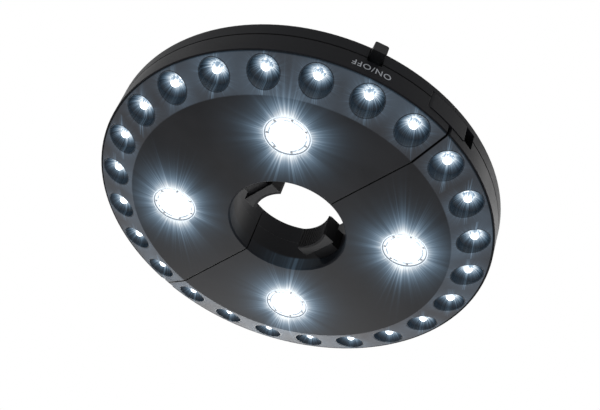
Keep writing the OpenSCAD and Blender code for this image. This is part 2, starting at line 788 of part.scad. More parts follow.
module hook(side) {
  mouth = 2 * hook_outer_r;
  color(jaw_grey) on(side) translate([0, -hook_pivot_y, hook_pivot_z]) difference() {
    union() {
      translate([0, 0, -hook_t / 2]) linear_extrude(hook_t) difference() {
        union() {
          translate([-hook_shank_w / 2, 0]) square([hook_shank_w, hook_reach - hook_eye_d / 2 - eps]);
          translate([0, hook_reach]) circle(r = hook_outer_r);
        }
        translate([0, hook_reach]) circle(r = hook_eye_d / 2);
        translate([0, hook_reach]) polygon([[0, 0], [mouth * cos(hook_mouth[0]), mouth * sin(hook_mouth[0])],
          [mouth * cos(hook_mouth[1]), mouth * sin(hook_mouth[1])]]);
      }
      rotate([0, 90, 0]) cylinder(r = hook_barrel_r, h = hook_hub_w, center = true);
    }
    rotate([0, 90, 0]) cylinder(r = hook_pin_r + run, h = hook_hub_w + 2 * over, center = true);
  }
}

module hook_pin(side) {
  color(contact_steel) on(side) translate([0, -hook_pivot_y, hook_pivot_z]) rotate([0, 90, 0])
    cylinder(r = hook_pin_r, h = 2 * (recess_half_w + hook_pin_bite - fit), center = true);
}

// ---- latch ----

module latch() {
  color(housing_grey) difference() {
    union() {
      translate([0, 0, latch_z]) intersection() {
        difference() {
          cylinder(r = latch_r, h = latch_h);
          translate([0, 0, -over]) cylinder(r = latch_r - latch_t, h = latch_h + 2 * over);
        }
        block([0, latch_pivot[1], 0], [disc_r + over, latch_end_y, latch_h]);
      }
      translate([latch_pivot[0], latch_pivot[1], latch_z]) cylinder(r = latch_barrel_r, h = latch_h);
      translate([latch_r - latch_t, latch_nose_y, latch_z + latch_nose_in])
        cylinder(r = latch_nose_r, h = latch_h - 2 * latch_nose_in);
    }
    translate([latch_pivot[0], latch_pivot[1], latch_z - over])
      cylinder(r = latch_pin_r + run, h = latch_h + 2 * over);
  }
}

module latch_pin() {
  color(contact_steel) translate([latch_pivot[0], latch_pivot[1], latch_z - fit - latch_pin_bite + snug])
    cylinder(r = latch_pin_r, h = latch_h + 2 * (fit + latch_pin_bite - snug));
}

// ---- button and switch ----

// A bar along +X whose section has round corners.
module round_bar(length, width, height, corner) {
  rotate([90, 0, 90]) linear_extrude(length) union() {
    translate([-width / 2 + corner, 0]) square([width - 2 * corner, height]);
    translate([-width / 2, corner]) square([width, height - 2 * corner]);
    for (x = [-1, 1], y = [corner, height - corner]) translate([x * (width / 2 - corner), y])
      circle(r = corner);
  }
}

module push_button() {
  flange_w = button_w + 2 * button_flange_side;
  color(jaw_grey) rotate([0, 0, button_deg]) {
    translate([button_back_r + eps, 0, button_z])
      round_bar(disc_r + button_out - button_back_r - eps, button_w, button_h, button_corner);
    block([button_back_r, -flange_w / 2, button_z],
      [button_back_r + button_flange_t, flange_w / 2, button_z + button_h - button_flange_drop]);
    translate([switch_face_r + plunger_out, 0, button_mid_z]) rotate([0, 90, 0])
      cylinder(r = button_stem_r, h = button_back_r - switch_face_r - plunger_out + eps);
  }
}

module switch_plunger() {
  color(rubber_black) rotate([0, 0, button_deg]) translate([switch_face_r - plunger_in, 0, button_mid_z])
    rotate([0, 90, 0]) cylinder(r = plunger_r, h = plunger_out + plunger_in);
}

module tact_switch() {
  color(contact_steel) rotate([0, 0, button_deg]) difference() {
    block([switch_board_r, -switch_case / 2, button_mid_z - switch_case / 2],
      [switch_face_r, switch_case / 2, button_mid_z + switch_case / 2]);
    translate([switch_face_r - plunger_in - button_travel - slide, 0, button_mid_z]) rotate([0, 90, 0])
      cylinder(r = plunger_r + run, h = switch_case);
  }
}

module switch_board() {
  color(board_green) rotate([0, 0, button_deg])
    block([switch_board_r - board_t, -switch_board_w / 2, board_top_z],
      [switch_board_r, switch_board_w / 2, button_mid_z + switch_board_top]);
}

// ---- contacts that join the halves ----

module at_links() {
  for (x = link_x) translate([x, 0, link_z]) rotate([90, 0, 0]) children();
}

module link_holes(side) {
  at_links() cylinder(r = (side == "a" ? link_r : link_pad_r) + snug, h = split_half + wall + over);
}

// Pins in half A that stand across the split.
module link_pins() {
  back = split_half + wall + snug;
  color(contact_steel) at_links() {
    translate([0, 0, 2 * snug - split_half]) cylinder(r = link_r, h = link_l + split_half);
    translate([0, 0, back]) cylinder(r = link_flange_r, h = link_flange_t);
  }
}

// Pads in half B, flush with its split face, that the pins meet.
module link_pads() {
  color(contact_steel) on("b") at_links() {
    translate([0, 0, split_half]) cylinder(r = link_pad_r, h = wall + snug + eps);
    translate([0, 0, split_half + wall + snug]) cylinder(r = link_pad_flange_r, h = link_flange_t);
  }
}

bottom_shell("a");  // bottom_shell_a
bottom_shell("b");  // bottom_shell_b
top_shell("a");  // top_shell_a
top_shell("b");  // top_shell_b
ring_reflectors("a");  // ring_reflectors_a
ring_reflectors("b");  // ring_reflectors_b
ring_leds("a");  // ring_leds_a
ring_leds("b");  // ring_leds_b
ring_board("a");  // ring_board_a
ring_board("b");  // ring_board_b
spot_lenses("a");  // spot_lenses_a
spot_lenses("b");  // spot_lenses_b
spot_reflectors("a");  // spot_reflectors_a
spot_reflectors("b");  // spot_reflectors_b
spot_leds("a");  // spot_leds_a
spot_leds("b");  // spot_leds_b
spot_boards("a");  // spot_boards_a
spot_boards("b");  // spot_boards_b
jaw("a");  // jaw_a
jaw("b");  // jaw_b
jaw_pad("a");  // jaw_pad_a
jaw_pad("b");  // jaw_pad_b
jaw_springs("a");  // jaw_springs_a
jaw_springs("b");  // jaw_springs_b
cells("a");  // cells_a
cells("b");  // cells_b
cell_springs("a");  // cell_springs_a
cell_springs("b");  // cell_springs_b
cell_contacts("a");  // cell_contacts_a
cell_contacts("b");  // cell_contacts_b
battery_door("a");  // battery_door_a
battery_door("b");  // battery_door_b
case_screws("a");  // case_screws_a
case_screws("b");  // case_screws_b
hook("a");  // hook_a
hook("b");  // hook_b
hook_pin("a");  // hook_pin_a
hook_pin("b");  // hook_pin_b
hinge_pin();
latch();
latch_pin();
push_button();
switch_plunger();
tact_switch();
switch_board();
link_pins();
link_pads();
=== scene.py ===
import math
import bmesh
import bpy
from mathutils import Matrix, Vector


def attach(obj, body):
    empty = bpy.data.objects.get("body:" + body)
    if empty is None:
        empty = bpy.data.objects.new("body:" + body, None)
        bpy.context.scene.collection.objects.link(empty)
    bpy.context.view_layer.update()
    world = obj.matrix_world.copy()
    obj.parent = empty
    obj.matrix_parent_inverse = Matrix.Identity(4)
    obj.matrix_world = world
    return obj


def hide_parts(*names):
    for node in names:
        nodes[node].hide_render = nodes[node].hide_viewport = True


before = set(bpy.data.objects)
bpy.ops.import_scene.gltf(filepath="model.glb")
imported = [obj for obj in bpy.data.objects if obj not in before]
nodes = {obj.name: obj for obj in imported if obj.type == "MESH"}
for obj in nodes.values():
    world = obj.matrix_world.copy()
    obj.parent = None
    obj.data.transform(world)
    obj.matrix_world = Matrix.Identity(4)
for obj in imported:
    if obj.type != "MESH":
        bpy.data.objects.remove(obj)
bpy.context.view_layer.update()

sides = ("a", "b")
mm = 0.001
white = (1.0, 1.0, 1.0)
upright = (0.0, 0.0, 1.0)
print("frame loaded")

camera = {
    "at": (0.341896, -0.202311, -0.361119),
    "right": (0.682473, 0.680189, 0.267532),
    "up": (0.364061, -0.633734, 0.682525),
    "back": (0.633790, -0.368407, -0.680137),
    "sensor": 36.0,
    "lens": 61.37,
    "shift": (0.025, 0.0177),
    "clip": (0.01, 100.0),
}


def placeCamera():
    data = bpy.data.cameras.new("camera")
    data.sensor_width = camera["sensor"]
    data.lens = camera["lens"]
    data.shift_x, data.shift_y = camera["shift"]
    data.clip_start, data.clip_end = camera["clip"]
    holder = bpy.data.objects.new("camera", data)
    axes = Matrix((camera["right"], camera["up"], camera["back"])).transposed()
    holder.matrix_world = Matrix.Translation(camera["at"]) @ axes.to_4x4()
    bpy.context.scene.collection.objects.link(holder)
    bpy.context.scene.camera = holder


placeCamera()
print("camera placed")


# A value in a material's graph, so that its formulas can be written as formulas.
class Wire:
    def __init__(self, tree, socket):
        self.tree = tree
        self.socket = socket

    def math(self, kind, *others):
        made = self.tree.nodes.new("ShaderNodeMath")
        made.operation = kind
        for slot, value in zip(made.inputs, (self, *others)):
            plug(self.tree, slot, value)
        return Wire(self.tree, made.outputs[0])

    def __add__(self, other):
        return self.math("ADD", other)

    def __sub__(self, other):
        return self.math("SUBTRACT", other)

    def __mul__(self, other):
        return self.math("MULTIPLY", other)

    def __truediv__(self, other):
        return self.math("DIVIDE", other)

    def ramp(self, low, high, toLow=0.0, toHigh=1.0):
        made = self.tree.nodes.new("ShaderNodeMapRange")
        made.interpolation_type = "SMOOTHSTEP"
        for slot, value in zip(made.inputs, (self, low, high, toLow, toHigh)):
            plug(self.tree, slot, value)
        return Wire(self.tree, made.outputs[0])

    def scaled(self, gain, base):
        return self * gain + base

    def size(self):
        return self.math("ABSOLUTE")

    def fade(self, length):
        return (self / length * -1.0).math("EXPONENT")


def plug(tree, slot, value):
    if isinstance(value, Wire):
        tree.links.new(value.socket, slot)
    elif isinstance(value, bpy.types.NodeSocket):
        tree.links.new(value, slot)
    else:
        slot.default_value = value


def addNode(tree, kind, settings=None, **values):
    made = tree.nodes.new(kind)
    for key, value in (settings or {}).items():
        setattr(made, key, value)
    for key, value in values.items():
        plug(tree, made.inputs[key], value)
    return made


def objectPlace(tree):
    coords = addNode(tree, "ShaderNodeTexCoord").outputs["Object"]
    split = addNode(tree, "ShaderNodeSeparateXYZ", Vector=coords)
    return coords, [Wire(tree, socket) for socket in split.outputs]


def noise(tree, vector, scale, detail, rough=0.5):
    made = addNode(tree, "ShaderNodeTexNoise", Vector=vector, Scale=scale, Detail=detail,
                   Roughness=rough)
    return Wire(tree, made.outputs["Fac"])


def mixColour(tree, amount, first, second):
    made = tree.nodes.new("ShaderNodeMix")
    made.data_type = "RGBA"
    for key, value in (("Factor_Float", amount), ("A_Color", first), ("B_Color", second)):
        slot = next(s for s in made.inputs if s.identifier == key)
        plug(tree, slot, value)
    return next(s for s in made.outputs if s.identifier == "Result_Color")


def rgba(colour, gain=1.0):
    return tuple(c * gain for c in colour) + (1.0,)


skin = {
    "patches": 38.0,
    "patchDetail": 4.0,
    "patchRange": (0.3, 0.7),
    "grainDetail": 2.0,
    "bevelSamples": 4,
    "wornAngle": (0.995, 0.85),
    "wornGrain": (0.3, 0.6),
    "wornGain": 1.6,
    "wornLift": 0.02,
    "patchShare": 0.6,
    "grainShare": 0.4,
    "glossRange": (0.25, 0.75),
    "smoother": 0.07,
    "rougher": 0.09,
    "bump": 0.5,
}


# Moulded plastic, rubber, board or metal: mottled colour, uneven gloss, a fine grain,
# soft and worn edges.
def surface(name, colour, rough=0.45, metal=0.0, spread=0.14, grain=900.0, depth=0.02, edge=0.25,
            specular=0.5, tint=None, stretch=None, wear=0.35, over=()):
    made = bpy.data.materials.new(name)
    made.use_nodes = True
    tree = made.node_tree
    shader = tree.nodes["Principled BSDF"]
    vector, xyz = objectPlace(tree)
    if stretch:
        stretched = addNode(tree, "ShaderNodeMapping", Vector=vector, Scale=stretch)
        vector = stretched.outputs["Vector"]
    broad = noise(tree, vector, skin["patches"], skin["patchDetail"])
    fine = noise(tree, vector, grain, skin["grainDetail"])
    soft = addNode(tree, "ShaderNodeBevel", {"samples": skin["bevelSamples"]}, Radius=edge * mm)
    shape = addNode(tree, "ShaderNodeNewGeometry")
    angle = addNode(tree, "ShaderNodeVectorMath", {"operation": "DOT_PRODUCT"})
    plug(tree, angle.inputs[0], soft.outputs["Normal"])
    plug(tree, angle.inputs[1], shape.outputs["Normal"])
    worn = Wire(tree, angle.outputs["Value"]).ramp(*skin["wornAngle"])
    worn = worn * fine.ramp(*skin["wornGrain"]) * wear
    body = mixColour(tree, broad.ramp(*skin["patchRange"]), rgba(colour, 1 - spread),
                     rgba(tint or colour, 1 + spread))
    bright = tuple(min(1.0, c * skin["wornGain"] + skin["wornLift"]) for c in colour)
    body = mixColour(tree, worn, body, rgba(bright))
    for place, other in over:
        body = mixColour(tree, place(xyz), body, rgba(other))
    plug(tree, shader.inputs["Base Color"], body)
    uneven = broad * skin["patchShare"] + fine * skin["grainShare"]
    uneven = uneven.ramp(*skin["glossRange"], rough - skin["smoother"], rough + skin["rougher"])
    plug(tree, shader.inputs["Roughness"], uneven)
    shader.inputs["Metallic"].default_value = metal
    shader.inputs["Specular IOR Level"].default_value = specular
    bump = addNode(tree, "ShaderNodeBump", Strength=skin["bump"], Distance=depth * mm, Height=fine,
                   Normal=soft.outputs["Normal"])
    plug(tree, shader.inputs["Normal"], bump.outputs["Normal"])
    return made, tree, shader, xyz


ring = {"r": 96.8 * mm, "step": math.radians(15), "cupR": 7.9 * mm, "tipZ": 6.3 * mm}
spot = {
    "xy": 44.27 * mm,
    "lensR": 12.4 * mm,
    "low": 0.2 * mm,
    "top": 3.4 * mm,
    "flangeR": 13.4 * mm,
    "flangeZ": 2.2 * mm,
}


# Where a point lies from the middle of the nearest ring lamp, and that lamp's number.
def fromRingLamp(xyz):
    x, y, _ = xyz
    number = (y.math("ARCTAN2", x) / ring["step"]).math("FLOOR")
    turn = (number + 0.5) * ring["step"]
    dx = x - turn.math("COSINE") * ring["r"]
    dy = y - turn.math("SINE") * ring["r"]
    return dx, dy, number


# The same for the nearest of the four spot lamps.
def fromSpot(xyz):
    x, y, _ = xyz
    signX, signY = x.math("SIGN"), y.math("SIGN")
    return x - signX * spot["xy"], y - signY * spot["xy"], signX * 2.0 + signY


def size2(first, second):
    return (first * first + second * second).math("SQRT")


rayNoise = {"apart": 7.3, "detail": 2.0, "rough": 0.6}


# Rays round a lit lamp: bright and dark by direction, different for each lamp.
def rays(tree, along, across, number, count, low, high):
    turn = across.math("ARCTAN2", along)
    circle = addNode(tree, "ShaderNodeCombineXYZ", X=turn.math("COSINE") * count,
                     Y=turn.math("SINE") * count, Z=number * rayNoise["apart"])
    made = noise(tree, circle.outputs["Vector"], 1.0, rayNoise["detail"], rayNoise["rough"])
    return made.ramp(low, high)


star = {
    "coreR": 2.7 * mm,
    "reach": 1.25 * mm,
    "rays": 26.0,
    "rayRange": (0.38, 0.66),
    "line": (0.7071, -0.7071),
    "lineSharp": 110.0,
    "reachByRay": (0.9, 0.7),
    "lightByRay": (0.5, 0.6),
    "power": 1.3,
    "hazeR": 3.6 * mm,
    "haze": 0.12,
}


# How well a direction from a lamp lines up with the long bright line through its star.
def onStarLine(dx, dy, sharp):
    along = dx * star["line"][0] + dy * star["line"][1]
    return (along / (size2(dx, dy) + 0.01 * mm)).size().math("POWER", sharp)


# A ring lamp's star of fine rays, with one long bright line through it.
def ringStar(tree, xyz):
    dx, dy, number = fromRingLamp(xyz)
    far = (size2(dx, dy) - star["coreR"]).math("MAXIMUM", 0.0)
    fine = rays(tree, dx, dy, number, star["rays"], *star["rayRange"])
    aim = onStarLine(dx, dy, star["lineSharp"])
    reach = fine.scaled(*star["reachByRay"]) * (aim + 1.0) * star["reach"]
    light = far.fade(reach) * fine.scaled(*star["lightByRay"]) * star["power"]
    return light + far.fade(star["hazeR"]) * star["haze"]


glowFar = (0.42, 0.70, 1.0)
glowNear = (0.86, 0.94, 1.0)


# Light that fades outwards from a lamp, whitest where it is strongest.
def glow(tree, shader, amount, whiteAt=1.2):
    colour = mixColour(tree, amount.ramp(0.0, whiteAt), rgba(glowFar), rgba(glowNear))
    plug(tree, shader.inputs["Emission Color"], colour)
    plug(tree, shader.inputs["Emission Strength"], amount)


def dress(name, material):
    for node in (name,) if name in nodes else (name + "_a", name + "_b"):
        mesh = nodes[node].data
        mesh.materials.clear()
        mesh.materials.append(material)


charcoal = (0.014, 0.0143, 0.0165)
# Painted light: a paler grey for the band, standing for the ring lamps' haze on it.
bandLampLitGrey = (0.088, 0.086, 0.089)
# Painted shade: a near-black for the shadow in the gaps between the shells and between the halves.
gapShadeBlack = (0.003, 0.003, 0.0035)
wall = {"meetZ": 19.5 * mm, "line": (0.75 * mm, 0.3 * mm), "startR": (105.5 * mm, 106.0 * mm)}
split = {"widenR": (85.0 * mm, 87.0 * mm), "widths": (0.45 * mm, 0.75 * mm), "edge": 0.25 * mm}
band = {
    "innerR": (85.9 * mm, 86.7 * mm),
    "outerR": (106.2 * mm, 105.7 * mm),
    "topZ": (8.6 * mm, 7.4 * mm),
    "star": 0.9,
    "bandHazeClouds": 26.0,
    "cloudDetail": 2.0,
    "cloudRange": (0.35, 0.7),
    "cloudLight": (0.0, 0.06),
}


# Painted shade: dark where the lower and upper shells meet, for the shadow in their groove.
def shellMeetShade(xyz):
    x, y, z = xyz
    line = (z - wall["meetZ"]).size().ramp(*wall["line"])
    return line * size2(x, y).ramp(*wall["startR"])


# Painted shade: dark where the two halves meet, wider on the band.
def halvesGapShade(xyz):
    x, y, _ = xyz
    width = size2(x, y).ramp(*split["widenR"], *split["widths"])
    return (width - y.size()).ramp(0.0, split["edge"])


# Painted light: where the sloping band is, painted paler than the face for the ring lamps' light
# on it.
def slopingBand(xyz):
    x, y, z = xyz
    far = size2(x, y)
    return far.ramp(*band["innerR"]) * far.ramp(*band["outerR"]) * z.ramp(*band["topZ"])


spotStar = {
    "rays": 26.0,
    "rayRange": (0.38, 0.68),
    "beams": 2.6,
    "beamRange": (0.35, 0.65),
    "beamShift": 3.1,
    "lineSharp": 9.0,
    "reach": 2.7 * mm,
    "reachByRay": (0.8, 0.5),
    "reachByBeam": (0.4, 0.6),
    "reachByLine": 1.2,
    "lightByRay": (0.6, 0.4),
    "lightByLine": (0.5, 0.7),
    "power": 0.55,
    "hazeR": 5.5 * mm,
    "hazeByBeam": 0.5,
    "hazeByLine": 0.8,
    "hazeBase": 0.5,
    "haze": 0.48,
    "topZ": (8.6 * mm, 7.2 * mm),
}


# A spot lamp's rays and haze on the face round its lens.
def spotLight(tree, xyz):
    dx, dy, number = fromSpot(xyz)
    far = size2(dx, dy) - spot["lensR"]
    fine = rays(tree, dx, dy, number, spotStar["rays"], *spotStar["rayRange"])
    broad = rays(tree, dx, dy, number + spotStar["beamShift"], spotStar["beams"],
                 *spotStar["beamRange"])
    aim = onStarLine(dx, dy, spotStar["lineSharp"])
    spread = broad.scaled(*spotStar["reachByBeam"]) + aim * spotStar["reachByLine"]
    reach = fine.scaled(*spotStar["reachByRay"]) * spread * spotStar["reach"]
    spill = far.fade(reach) * fine.scaled(*spotStar["lightByRay"])
    spill = spill * aim.scaled(*spotStar["lightByLine"]) * spotStar["power"]
    uneven = broad * spotStar["hazeByBeam"] + aim * spotStar["hazeByLine"] + spotStar["hazeBase"]
    haze = far.fade(spotStar["hazeR"]) * uneven * spotStar["haze"]
    return (spill + haze) * xyz[2].ramp(*spotStar["topZ"])


# Painted light: the face is painted with each spot lamp's rays as glow, and the band with the ring
# lamps' haze and the tips of their stars.
def makeHousing():
    lines = ((slopingBand, bandLampLitGrey), (shellMeetShade, gapShadeBlack), (halvesGapShade, gapShadeBlack))
    made, tree, shader, xyz = surface("housing", charcoal, 0.42, grain=1500.0, depth=0.012,
                                      specular=0.07, over=lines)
    vector, _ = objectPlace(tree)
    # Painted light: the ring lamps' haze in soft clouds on the band.
    bandHazeClouds = noise(tree, vector, band["bandHazeClouds"], band["cloudDetail"])
    bandHazeClouds = bandHazeClouds.ramp(*band["cloudRange"], *band["cloudLight"])
    onBand = (ringStar(tree, xyz) * band["star"] + bandHazeClouds) * slopingBand(xyz)
    light = spotLight(tree, xyz) + onBand
    # No painted glow inside the painted shade where the halves meet.
    glow(tree, shader, light * halvesGapShade(xyz).ramp(0.0, 1.0, 1.0, 0.0), 0.9)
    made.cycles.emission_sampling = "NONE"
    return made


cup = {"colour": (0.006, 0.009, 0.015), "innerR": 4.5 * mm, "shade": (0.3, 1.15)}


# A dark cup with the ring lamp's star painted on its wall as glow, fainter away from the lamp.
def makeCup():
    made, tree, shader, xyz = surface("cupDark", cup["colour"], 0.28, grain=700.0, depth=0.006,
                                      edge=0.1, specular=0.3, wear=0.5)
    dx, dy, _ = fromRingLamp(xyz)
    shade = size2(dx, dy).ramp(ring["cupR"], cup["innerR"], *cup["shade"])
    glow(tree, shader, ringStar(tree, xyz) * shade, 1.0)
    made.cycles.emission_sampling = "NONE"
    return made


lamp = {
    "colour": (0.10, 0.13, 0.17),
    "rays": 7.0,
    "rayRange": (0.40, 0.66),
    "coreR": 1.8 * mm,
    "coreByRay": (0.7, 0.8),
    "power": 7.0,
    "footZ": 10.35 * mm,
    "footLine": (0.3 * mm, 0.1 * mm),
    "footLight": (0.0, 1.1),
    "breaks": 700.0,
    "breakDetail": 1.0,
    "breakRange": (0.45, 0.6),
    "base": 0.4,
}


# A lit lamp in clear resin: its glare is at its tip, and its foot catches a broken bright line.
def makeLamp():
    made, tree, shader, xyz = surface("lampLit", lamp["colour"], 0.12, spread=0.05, depth=0.004,
                                      wear=0.0)
    vector, _ = objectPlace(tree)
    dx, dy, number = fromRingLamp(xyz)
    up = (xyz[2] - ring["tipZ"]).math("POWER", 2.0)
    fromTip = (dx * dx + dy * dy + up).math("SQRT")
    fine = rays(tree, dx, dy, number, lamp["rays"], *lamp["rayRange"])
    coreR = fine.scaled(*lamp["coreByRay"]) * lamp["coreR"]
    core = (fromTip / coreR).math("POWER", 2.0).fade(1.0) * lamp["power"]
    foot = (xyz[2] - lamp["footZ"]).size().ramp(*lamp["footLine"], *lamp["footLight"])
    broken = noise(tree, vector, lamp["breaks"], lamp["breakDetail"]).ramp(*lamp["breakRange"])
    glow(tree, shader, core + foot * broken + lamp["base"])
    return made


chip = {"colour": (0.9, 0.9, 0.86), "z": (10.0 * mm, 9.4 * mm), "light": (1.0, 8.0)}
bowl = {"colour": (0.86, 0.87, 0.9), "z": (3.4 * mm, 10.0 * mm), "light": (0.4, 1.2)}


def makeSpotLamp():
    made, tree, shader, xyz = surface("spotLit", chip["colour"], 0.3, spread=0.05, depth=0.004,
                                      wear=0.0)
    glow(tree, shader, xyz[2].ramp(*chip["z"], *chip["light"]))
    return made


# Polished reflector metal, painted with glow for the spot lamp's light on it, brighter towards the
# chip.
def makeLitReflector():
    made, tree, shader, xyz = surface("reflectorPaintedGlow", bowl["colour"], 0.12, metal=1.0, depth=0.004)
    glow(tree, shader, xyz[2].ramp(*bowl["z"], *bowl["light"]))
    return made


def plain(name, colour, rough, **settings):
    return surface(name, colour, rough, **settings)[0]


rubber = plain("rubber", (0.012, 0.012, 0.013), 0.72, grain=2200.0, depth=0.03, specular=0.2)
darkPart = plain("darkPart", (0.014, 0.014, 0.015), 0.42, grain=1300.0, specular=0.15)
steel = plain("steel", (0.5, 0.51, 0.53), 0.3, metal=1.0, stretch=(6.0, 6.0, 0.4))
board = plain("boardGreen", (0.02, 0.085, 0.04), 0.35, tint=(0.03, 0.12, 0.05), grain=600.0)
brass = plain("brass", (0.75, 0.56, 0.25), 0.28, metal=1.0)
upper = {"grain": 1500.0, "depth": 0.015, "specular": 0.07}
# The top shell gets the same painted shade where the shells meet.
topHousing = plain("topHousing", charcoal, 0.45, over=((shellMeetShade, gapShadeBlack),), **upper)
trimGrey = plain("trimGrey", charcoal, 0.45, **upper)
springSteel = plain("springSteel", (0.42, 0.43, 0.45), 0.26, metal=1.0)
cellJacket = plain("cellJacket", (0.06, 0.08, 0.11), 0.3, metal=0.4, spread=0.2)
switchCase = plain("switchCase", (0.45, 0.46, 0.48), 0.32, metal=1.0)
finishes = {
    makeHousing(): ("bottom_shell",),
    topHousing: ("top_shell",),
    trimGrey: ("battery_door", "latch"),
    darkPart: ("jaw", "hook", "push_button"),
    rubber: ("switch_plunger",),
    makeCup(): ("ring_reflectors",),
    makeLamp(): ("ring_leds",),
    makeSpotLamp(): ("spot_leds",),
    makeLitReflector(): ("spot_reflectors",),
    board: ("ring_board", "spot_boards", "switch_board"),
    springSteel: ("jaw_springs", "cell_springs"),
    cellJacket: ("cells",),
    steel: ("cell_contacts", "case_screws", "hook_pin", "hinge_pin", "latch_pin"),
    switchCase: ("tact_switch",),
    brass: ("link_pins", "link_pads"),
}
for material, names in finishes.items():
    for name in names:
        dress(name, material)
print("solids dressed")


def finishPiece(name, build, materials, body, replaced=(), sharp=35):
    bmesh.ops.recalc_face_normals(build, faces=build.faces[:])
    mesh = bpy.data.meshes.new(name)
    build.to_mesh(mesh)
    build.free()
    for material in materials:
        mesh.materials.append(material)
    piece = bpy.data.objects.new(name, mesh)
    bpy.context.scene.collection.objects.link(piece)
    for face in mesh.polygons:
        face.use_smooth = True
    mesh.set_sharp_from_angle(angle=math.radians(sharp))
    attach(piece, body)
    if replaced:
        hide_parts(*replaced)
    return piece


# Spins a row of points, given as radius and height, about an upright axis.
def spinRow(build, centre, row, steps, slotIndex=0):
    before = set(build.faces)
    verts = [build.verts.new((centre[0] + r, centre[1], z)) for r, z in row]
    edges = [build.edges.new(pair) for pair in zip(verts, verts[1:])]
    bmesh.ops.spin(build, geom=verts + edges, cent=(*centre, 0.0), axis=upright,
                   angle=2 * math.pi, steps=steps, use_merge=True, use_duplicate=False)
    bmesh.ops.remove_doubles(build, verts=build.verts[:], dist=1e-6)
    for face in set(build.faces) - before:
        face.material_index = slotIndex


lens = {
    "steps": 96,
    "round": 0.25 * mm,
    "rim": 0.9 * mm,
    "rimSlope": 0.2 * mm,
    "step": 0.3 * mm,
    "innerR": 9.2 * mm,
    "ringW": 0.5 * mm,
    "ringH": 0.35 * mm,
    "midShare": 0.6,
    "midDip": 0.1 * mm,
    "dip": 0.15 * mm,
    "crown": 0.5 * mm,
}
stud = {
    "r": 0.7 * mm,
    "at": 10.3 * mm,
    "count": 7,
    "firstDeg": 20,
    "sunk": 0.12 * mm,
    "round": 0.08 * mm,
    "high": 0.3 * mm,
    "steps": 12,
}
glass = {
    "colour": (0.42, 0.45, 0.48),
    "clear": 0.2,
    "bend": 1.49,
    "rimShift": 0.1 * mm,
    "rimLine": (0.1 * mm, 0.5 * mm),
    "innerLine": (0.1 * mm, 0.8 * mm),
    "innerLight": (0.2, 1.0),
    "patches": 260.0,
    "patchDetail": 2.0,
    "patchRange": (0.5, 0.58),
    "edgeOut": 0.05 * mm,
    "edgeIn": 0.35 * mm,
    "edgeLight": (0.1, 1.0),
    "middle": (12.0 * mm, 7.0 * mm),
    "light": (0.75, 1.5),
}


def lensRow():
    rimR = spot["lensR"] - lens["rim"]
    face = spot["low"] + lens["step"]
    return [
        (0.0, spot["top"] - lens["crown"]),
        (spot["flangeR"], spot["top"]),
        (spot["flangeR"], spot["flangeZ"]),
        (spot["lensR"], spot["flangeZ"]),
        (spot["lensR"], spot["low"] + lens["round"]),
        (spot["lensR"] - lens["round"], spot["low"]),
        (rimR, spot["low"]),
        (rimR - lens["rimSlope"], face),
        (lens["innerR"] + lens["ringW"], face),
        (lens["innerR"] + lens["ringW"] * 0.5, face + lens["ringH"]),
        (lens["innerR"], face),
        (lens["innerR"] * lens["midShare"], face - lens["midDip"]),
        (0.0, face - lens["dip"]),
    ]


def studRow():
    low = spot["low"] + stud["sunk"]
    return [
        (0.0, low),
        (stud["r"], low + stud["round"]),
        (stud["r"], low + stud["high"]),
        (0.0, low + stud["high"]),
    ]


# Lit glass, darker along its rim, its inner ring and its outer edge.
def makeLensGlass():
    made, tree, shader, xyz = surface("lensGlass", glass["colour"], 0.10, spread=0.02,
                                      depth=0.003, wear=0.0)
    vector, _ = objectPlace(tree)
    dx, dy, _ = fromSpot(xyz)
    far = size2(dx, dy)
    shader.inputs["Transmission Weight"].default_value = glass["clear"]
    shader.inputs["IOR"].default_value = glass["bend"]
    rimR = spot["lensR"] - lens["rim"]
    rimLine = (far - rimR + glass["rimShift"]).size().ramp(*glass["rimLine"])
    innerLine = (far - lens["innerR"] - lens["ringW"] * 0.5).size()
    innerLine = innerLine.ramp(*glass["innerLine"], *glass["innerLight"])
    patches = noise(tree, vector, glass["patches"], glass["patchDetail"])
    innerLine = innerLine.math("MAXIMUM", patches.ramp(*glass["patchRange"]))
    outside = far.ramp(spot["lensR"] + glass["edgeOut"], spot["lensR"] - glass["edgeIn"],
                       *glass["edgeLight"])
    light = far.ramp(*glass["middle"], *glass["light"]) * rimLine * innerLine * outside
    glow(tree, shader, light, 0.4)
    return made


lensGlass = makeLensGlass()
studGrey = plain("studGrey", (0.55, 0.56, 0.58), 0.3, depth=0.004, wear=0.0)


def makeLenses(side):
    build = bmesh.new()
    sign = -1 if side == "a" else 1
    for centre in ((spot["xy"], sign * spot["xy"]), (-spot["xy"], sign * spot["xy"])):
        spinRow(build, centre, lensRow(), lens["steps"])
        for k in range(stud["count"]):
            turn = math.radians(stud["firstDeg"] + 360 * k / stud["count"])
            at = (centre[0] + stud["at"] * math.cos(turn), centre[1] + stud["at"] * math.sin(turn))
            spinRow(build, at, studRow(), stud["steps"], 1)
    finishPiece("spotLenses_" + side, build, (lensGlass, studGrey), "half_" + side,
                ("spot_lenses_" + side,))


for side in sides:
    makeLenses(side)
print("lenses made")

pad = {
    "faceR": 19 * mm,
    "backR": 20.4 * mm,
    "halfW": 10.5 * mm,
    "low": 5 * mm,
    "high": 19 * mm,
    "strips": 29,
    "groove": 0.45 * mm,
    "land": 0.1 * mm,
    "round": 0.15 * mm,
    "roundSteps": 2,
    "roundDeg": 60,
    "sharpDeg": 25,
}


